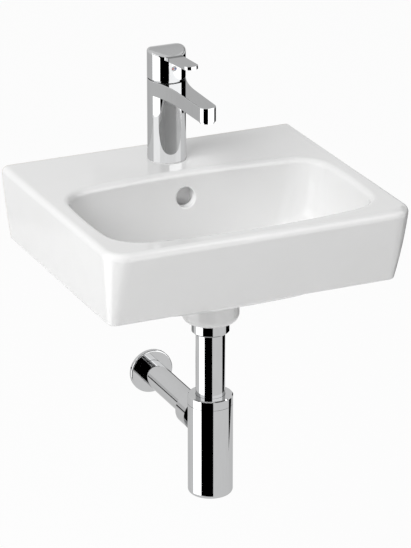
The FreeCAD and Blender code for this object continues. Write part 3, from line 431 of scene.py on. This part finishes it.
def paint_white_glaze():
    """Glossy white glaze with painted light that whitens the overflow's shaded mouth, and bare clay where the basin
    meets the wall.
    """
    material, tree, skin, marks = start_finish("white_glaze", skin_mottle, 14)
    place = put(tree, "ShaderNodeTexCoord").outputs["Object"]
    painted_overflow_light = painted_spot(tree, place, OVERFLOW_HEART, OVERFLOW_REACH, OVERFLOW_CORE)
    depth = put(tree, "ShaderNodeSeparateXYZ")
    join(tree, place, depth.inputs[0])
    bare = put(tree, "ShaderNodeMapRange", From_Min=GLAZE_END, From_Max=CLAY_START)
    join(tree, depth.outputs["Y"], bare.inputs["Value"])
    bare = bare.outputs["Result"]
    tone = marks.outputs["Tone"]
    glaze = between(tree, tone, (0.80, 0.80, 0.795, 1), grey(0.84))
    # Painted light: the overflow's shaded mouth is whitened towards 0.97.
    glaze = between(tree, painted_overflow_light, glaze, grey(0.97))
    clay = between(tree, marks.outputs["Height"], (0.52, 0.47, 0.40, 1), (0.66, 0.61, 0.53, 1))
    join(tree, between(tree, bare, glaze, clay), skin.inputs["Base Color"])
    gloss = spread(tree, tone, 0.05, 0.10)
    matt = sums(tree, "MULTIPLY", bare, CLAY_ROUGHNESS)
    join(tree, sums(tree, "MAXIMUM", gloss, matt), skin.inputs["Roughness"])
    roughen(tree, skin, marks, 0.00004)
    return material


def paint_indicator():
    """Silver plug with a red dot on the hot side and a blue one on the cold side."""
    material, tree, skin, marks = start_finish("indicator", skin_mottle, 400)
    low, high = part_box("indicator_plug")
    place = put(tree, "ShaderNodeTexCoord").outputs["Object"]
    tone = marks.outputs["Tone"]
    colour = between(tree, tone, (0.50, 0.50, 0.51, 1), grey(0.60))
    for side, paint in ((-1, (0.55, 0.03, 0.02, 1)), (1, (0.02, 0.06, 0.35, 1))):
        heart = (side * DOT_APART, low[1], (low[2] + high[2]) / 2)
        colour = between(tree, painted_spot(tree, place, heart, DOT_RADIUS, DOT_CORE), colour, paint)
    join(tree, colour, skin.inputs["Base Color"])
    join(tree, spread(tree, tone, 0.15, 0.3), skin.inputs["Roughness"])
    roughen(tree, skin, marks, 0.00001)
    return material


finishes = {
    "white_glaze": paint_white_glaze(),
    "chrome": paint_metal("chrome", grain=25, dull=grey(0.47), bright=(0.53, 0.535, 0.54, 1),
                          roughness=(0.015, 0.06), depth=0.000002, edge=0.75),
    "brass": paint_metal("brass", grain=60, dull=(0.52, 0.36, 0.14, 1), bright=(0.78, 0.58, 0.27, 1),
                         roughness=(0.18, 0.42), depth=0.00002, edge=0.9),
    "steel": paint_metal("steel", grain=80, dull=grey(0.36), bright=(0.58, 0.58, 0.57, 1),
                         roughness=(0.2, 0.45), depth=0.00002, edge=0.9),
    "black_rubber": paint_moulded("black_rubber", grain=300, dark=grey(0.012), light=grey(0.035),
                                  roughness=(0.5, 0.75), depth=0.00004),
    "white_plastic": paint_moulded("white_plastic", grain=200, dark=grey(0.66), light=(0.78, 0.78, 0.77, 1),
                                   roughness=(0.3, 0.5), depth=0.00002),
    "alumina": paint_moulded("alumina", grain=500, dark=(0.74, 0.71, 0.64, 1), light=(0.85, 0.83, 0.78, 1),
                             roughness=(0.15, 0.3), depth=0.000005),
    "indicator": paint_indicator(),
}


def dress_nodes():
    for part in frame["record"]["subparts"]:
        shown = nodes[part["node"]].data
        shown.materials.clear()
        shown.materials.append(finishes[part["material_slot"]])


# Pieces that repeat a small form


def start_pattern(name, sizes):
    """Geometry node tree with named number inputs: (tree, input node, output node)."""
    tree = bpy.data.node_groups.new(name, "GeometryNodeTree")
    for label in sizes:
        tree.interface.new_socket(label, in_out="INPUT", socket_type="NodeSocketFloat")
    tree.interface.new_socket("Geometry", in_out="OUTPUT", socket_type="NodeSocketGeometry")
    return tree, put(tree, "NodeGroupInput"), put(tree, "NodeGroupOutput")


def grow(name, tree, sizes, body):
    """Run the pattern with the given sizes and keep the result as a plain mesh that rides on the body."""
    seed = link_mesh(name + "_seed", [], [])
    pattern = seed.modifiers.new(name, "NODES")
    pattern.node_group = tree
    for item in tree.interface.items_tree:
        if item.in_out == "INPUT":
            pattern[item.identifier] = float(sizes[item.name])
    graph = bpy.context.evaluated_depsgraph_get()
    mesh = bpy.data.meshes.new_from_object(seed.evaluated_get(graph))
    bpy.data.objects.remove(seed)
    mesh.name = name
    piece = bpy.data.objects.new(name, mesh)
    scene.collection.objects.link(piece)
    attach(piece, body)


def finish_pattern(tree, shape, slot, out):
    """Real geometry with its finish, into the tree's output."""
    real = put(tree, "GeometryNodeRealizeInstances")
    painted = put(tree, "GeometryNodeSetMaterial", Material=finishes[slot])
    join(tree, shape, real.inputs["Geometry"])
    join(tree, real.outputs["Geometry"], painted.inputs["Geometry"])
    join(tree, painted.outputs["Geometry"], out.inputs["Geometry"])


def place_of(tree, x, y, z):
    node = put(tree, "ShaderNodeCombineXYZ")
    for socket, value in zip(node.inputs, (x, y, z)):
        if isinstance(value, (int, float)):
            socket.default_value = value
        else:
            join(tree, value, socket)
    return node.outputs[0]


def add_stud_thread():
    """Helical ridge along the stud that clamps the tap."""
    tree, given, out = start_pattern("thread", ("Turns", "Radius", "Length", "Ridge", "Y", "Z"))
    coil = put(tree, "GeometryNodeCurveSpiral", Resolution=24)
    ridge = put(tree, "GeometryNodeCurvePrimitiveCircle", Resolution=3)
    sweep = put(tree, "GeometryNodeCurveToMesh", Fill_Caps=True)
    shift = put(tree, "GeometryNodeTransform")
    for label, socket in (("Turns", coil.inputs["Rotations"]), ("Radius", coil.inputs["Start Radius"]),
                          ("Radius", coil.inputs["End Radius"]), ("Length", coil.inputs["Height"]),
                          ("Ridge", ridge.inputs["Radius"])):
        join(tree, given.outputs[label], socket)
    join(tree, coil.outputs[0], sweep.inputs["Curve"])
    join(tree, ridge.outputs["Curve"], sweep.inputs["Profile Curve"])
    join(tree, sweep.outputs[0], shift.inputs["Geometry"])
    join(tree, place_of(tree, 0, given.outputs["Y"], given.outputs["Z"]), shift.inputs["Translation"])
    finish_pattern(tree, shift.outputs[0], "steel", out)
    low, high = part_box("tap_stud")
    length = high[2] - low[2] - 2 * THREAD_PITCH
    sizes = {"Turns": length / THREAD_PITCH, "Radius": (high[0] - low[0]) / 2, "Length": length,
             "Ridge": THREAD_RIDGE, "Y": (low[1] + high[1]) / 2, "Z": low[2] + THREAD_PITCH}
    grow("stud_thread", tree, sizes, "root")


def add_aerator_mesh():
    """Honeycomb under the aerator's insert, which the water leaves through."""
    tree, given, out = start_pattern("honeycomb", ("Cell", "Row", "Across", "Rib", "Deep", "Reach", "Y", "Z"))
    lattice = put(tree, "GeometryNodeMeshGrid")
    for label, count, size in (("Cell", "Vertices X", "Size X"), ("Row", "Vertices Y", "Size Y")):
        spans = sums(tree, "SUBTRACT", given.outputs["Across"], 1)
        join(tree, given.outputs["Across"], lattice.inputs[count])
        join(tree, sums(tree, "MULTIPLY", spans, given.outputs[label]), lattice.inputs[size])
    shifted = put(tree, "GeometryNodeTransform")
    half_cell = sums(tree, "MULTIPLY", given.outputs["Cell"], 0.5)
    half_row = sums(tree, "MULTIPLY", given.outputs["Row"], 0.5)
    join(tree, lattice.outputs["Mesh"], shifted.inputs["Geometry"])
    join(tree, place_of(tree, half_cell, half_row, 0), shifted.inputs["Translation"])
    centres = put(tree, "GeometryNodeJoinGeometry")
    join(tree, lattice.outputs["Mesh"], centres.inputs["Geometry"])
    join(tree, shifted.outputs["Geometry"], centres.inputs["Geometry"])
    away = put(tree, "ShaderNodeVectorMath", operation="LENGTH")
    join(tree, put(tree, "GeometryNodeInputPosition").outputs[0], away.inputs[0])
    kept = put(tree, "GeometryNodeDeleteGeometry")
    join(tree, centres.outputs["Geometry"], kept.inputs["Geometry"])
    join(tree, sums(tree, "GREATER_THAN", away.outputs["Value"], given.outputs["Reach"]), kept.inputs["Selection"])
    ring = put(tree, "GeometryNodeCurvePrimitiveCircle", Resolution=6)
    join(tree, sums(tree, "SUBTRACT", half_cell, sums(tree, "MULTIPLY", given.outputs["Rib"], 0.5)),
         ring.inputs["Radius"])
    wall = put(tree, "GeometryNodeCurvePrimitiveQuadrilateral")
    join(tree, given.outputs["Rib"], wall.inputs["Width"])
    join(tree, given.outputs["Deep"], wall.inputs["Height"])
    sweep = put(tree, "GeometryNodeCurveToMesh")
    join(tree, ring.outputs["Curve"], sweep.inputs["Curve"])
    join(tree, wall.outputs["Curve"], sweep.inputs["Profile Curve"])
    cells = put(tree, "GeometryNodeInstanceOnPoints", Rotation=(0, 0, HEXAGON_TURN),
                Scale=[1 / math.cos(HEXAGON_TURN)] * 2 + [1])
    join(tree, kept.outputs["Geometry"], cells.inputs["Points"])
    join(tree, sweep.outputs["Mesh"], cells.inputs["Instance"])
    seated = put(tree, "GeometryNodeTransform")
    join(tree, cells.outputs["Instances"], seated.inputs["Geometry"])
    join(tree, place_of(tree, 0, given.outputs["Y"], given.outputs["Z"]), seated.inputs["Translation"])
    finish_pattern(tree, seated.outputs["Geometry"], "white_plastic", out)
    low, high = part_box("aerator_insert")
    radius = (high[0] - low[0]) / 2
    sizes = {"Cell": MESH_CELL, "Row": MESH_CELL * math.sqrt(3), "Across": 2 * math.ceil(radius / MESH_CELL) + 1,
             "Rib": MESH_RIB, "Deep": MESH_DEEP, "Reach": radius - MESH_MARGIN,
             "Y": (low[1] + high[1]) / 2, "Z": low[2] - MESH_DEEP / 2}
    grow("aerator_mesh", tree, sizes, "root")


scene.view_settings.view_transform = "Standard"
add_camera()
add_studio()
dress_nodes()
add_stud_thread()
add_aerator_mesh()
